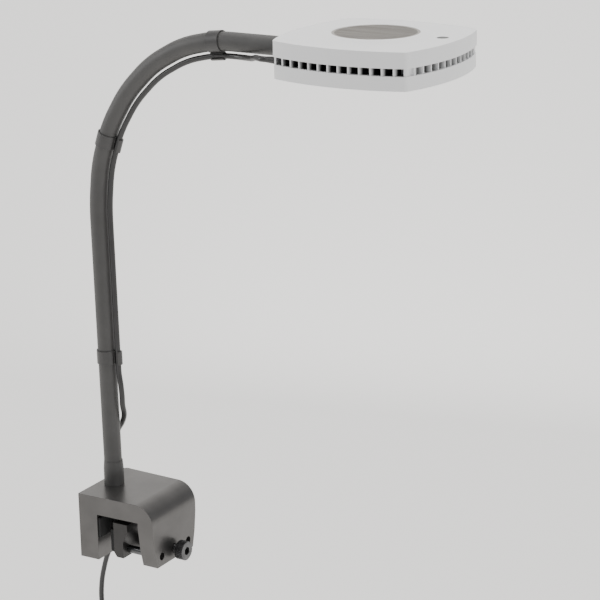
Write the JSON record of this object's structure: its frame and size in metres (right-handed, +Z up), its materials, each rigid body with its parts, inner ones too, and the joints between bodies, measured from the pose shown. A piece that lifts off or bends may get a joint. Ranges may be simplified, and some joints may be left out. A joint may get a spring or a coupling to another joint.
{
  "type": "aquarium light",
  "caption": "Clamp-on aquarium light: a flat fan-cooled lamp head on a flexible gooseneck, held by a screw clamp on the tank's rim, with its lead clipped along the neck.",
  "frame": {"origin": "middle of the clamp along the pane, on the pane's outer face and at the ceiling of the clamp's slot, where the tank's rim rests", "axes": "+Z up, +X from the outside of the tank to the inside, along which the head reaches, and +Y along the pane"},
  "size_m": [0.3607, 0.125, 0.6264],
  "materials": {
    "cover_top": "satin",
    "cover_bottom": "satin",
    "fins": "satin",
    "fan_plastic": "satin",
    "grille": "satin",
    "board_white": "satin",
    "board_green": "satin",
    "chips": "gloss",
    "lens": "frosted",
    "dark_plastic": "satin",
    "bracket": "satin",
    "links": "satin",
    "sleeve": "matte",
    "clip_plastic": "satin",
    "clamp_metal": "satin anodised",
    "pad_rubber": "matte",
    "bright_steel": "satin",
    "dark_steel": "satin",
    "lead_rubber": "gloss",
    "plug_plastic": "satin",
    "tie": "matte"
  },
  "bodies": {
    "clamp": {"clamp_body": "clamp_metal", "fixed_pad": "pad_rubber", "neck_ferrule": "clamp_metal", "neck_bolt": "bright_steel", "neck_base": "links", "sleeve_lower": "sleeve", "clip_lower": "clip_plastic", "cable_lower": "lead_rubber", "lead_tube": "lead_rubber", "lead_coil": "lead_rubber", "lead_tail": "lead_rubber", "coil_tie": "tie", "dc_plug": "plug_plastic"},
    "jaw": {"jaw": "clamp_metal", "jaw_pad": "pad_rubber", "guide_pins": "bright_steel"},
    "screw": {"clamp_screw": "dark_steel", "screw_ring": "bright_steel"},
    "link_1": {"link_1": "links"},
    "link_2": {"link_2": "links"},
    "link_3": {"link_3": "links"},
    "link_4": {"link_4": "links", "sleeve_flex": "sleeve", "cable_flex": "lead_rubber"},
    "link_5": {"link_5": "links", "clip_middle": "clip_plastic"},
    "link_6": {"link_6": "links"},
    "link_7": {"link_7": "links"},
    "link_8": {"link_8": "links"},
    "head": {"neck_end": "links", "sleeve_upper": "sleeve", "clip_upper": "clip_plastic", "cable_upper": "lead_rubber", "head_upper_shell": "cover_top", "head_lower_shell": "cover_bottom", "heat_sink": "fins", "fan_frame": "fan_plastic", "fan_screws": "dark_steel", "fan_grille": "grille", "led_board": "board_white", "led_chips": "chips", "lens": "lens", "lens_ring": "dark_plastic", "control_board": "board_green", "arm_bracket": "bracket", "arm_set_screws": "dark_steel", "power_jack": "dark_plastic", "head_plug": "lead_rubber", "shell_screws": "bright_steel"},
    "fan": {"fan_impeller": "fan_plastic"},
    "button": {"control_button": "dark_plastic"}
  },
  "joints": [
    {"name": "jaw_slide", "type": "slide", "parent": "clamp", "child": "jaw", "axis": [1, 0, 0], "range_m": [-0.0025, 0.0125]},
    {"name": "clamp_screw_turn", "type": "hinge", "parent": "jaw", "child": "screw", "pos_m": [0.055, 0, -0.03], "axis": [1, 0, 0], "range_deg": [-721, 3601]},
    {"name": "neck_side", "type": "hinge", "parent": "clamp", "child": "link_1", "pos_m": [-0.00897, 0, 0.14949], "axis": [1, 0, 0], "range_deg": [-20, 20], "deforming": ["sleeve_flex", "cable_flex"]},
    {"name": "bend_lower", "type": "hinge", "parent": "link_1", "child": "link_2", "pos_m": [-0.00943, 0, 0.18248], "axis": [0, 1, 0], "range_deg": [-10, 10], "deforming": ["sleeve_flex", "cable_flex"]},
    {"name": "bend_lower_2", "type": "hinge", "parent": "link_2", "child": "link_3", "pos_m": [-0.00989, 0, 0.21548], "axis": [0, 1, 0], "range_deg": [-10, 10]},
    {"name": "bend_lower_3", "type": "hinge", "parent": "link_3", "child": "link_4", "pos_m": [-0.01035, 0, 0.24848], "axis": [0, 1, 0], "range_deg": [-10, 10]},
    {"name": "bend_middle", "type": "hinge", "parent": "link_4", "child": "link_5", "pos_m": [-0.00662, 0, 0.28127], "axis": [0, 1, 0], "range_deg": [-13, 9], "deforming": ["sleeve_flex", "cable_flex"]},
    {"name": "bend_middle_2", "type": "hinge", "parent": "link_5", "child": "link_6", "pos_m": [0.00413, 0, 0.31247], "axis": [0, 1, 0], "range_deg": [-13, 9]},
    {"name": "bend_middle_3", "type": "hinge", "parent": "link_6", "child": "link_7", "pos_m": [0.02161, 0, 0.34045], "axis": [0, 1, 0], "range_deg": [-13, 9]},
    {"name": "bend_upper", "type": "hinge", "parent": "link_7", "child": "link_8", "pos_m": [0.04515, 0, 0.36358], "axis": [0, 1, 0], "range_deg": [-16, 9], "deforming": ["sleeve_flex", "cable_flex"]},
    {"name": "bend_upper_2", "type": "hinge", "parent": "link_8", "child": "head", "pos_m": [0.07401, 0, 0.37958], "axis": [0, 1, 0], "range_deg": [-16, 9]},
    {"name": "fan_spin", "type": "hinge", "parent": "head", "child": "fan", "pos_m": [0.23862, 0, 0.39308], "axis": [0, 0, 1], "continuous": true},
    {"name": "button_press", "type": "slide", "parent": "head", "child": "button", "axis": [0, 0, -1], "range_m": [0, 0.0005], "stiffness_N_per_m": 300, "springref_m": -0.002}
  ],
  "couplings": [
    {"joint": "clamp_screw_turn", "follows": "jaw_slide", "rad_per_m": 5026.5},
    {"joint": "bend_lower_2", "follows": "bend_lower", "ratio": 1},
    {"joint": "bend_lower_3", "follows": "bend_lower", "ratio": 1},
    {"joint": "bend_middle_2", "follows": "bend_middle", "ratio": 1},
    {"joint": "bend_middle_3", "follows": "bend_middle", "ratio": 1},
    {"joint": "bend_upper_2", "follows": "bend_upper", "ratio": 1}
  ]
}
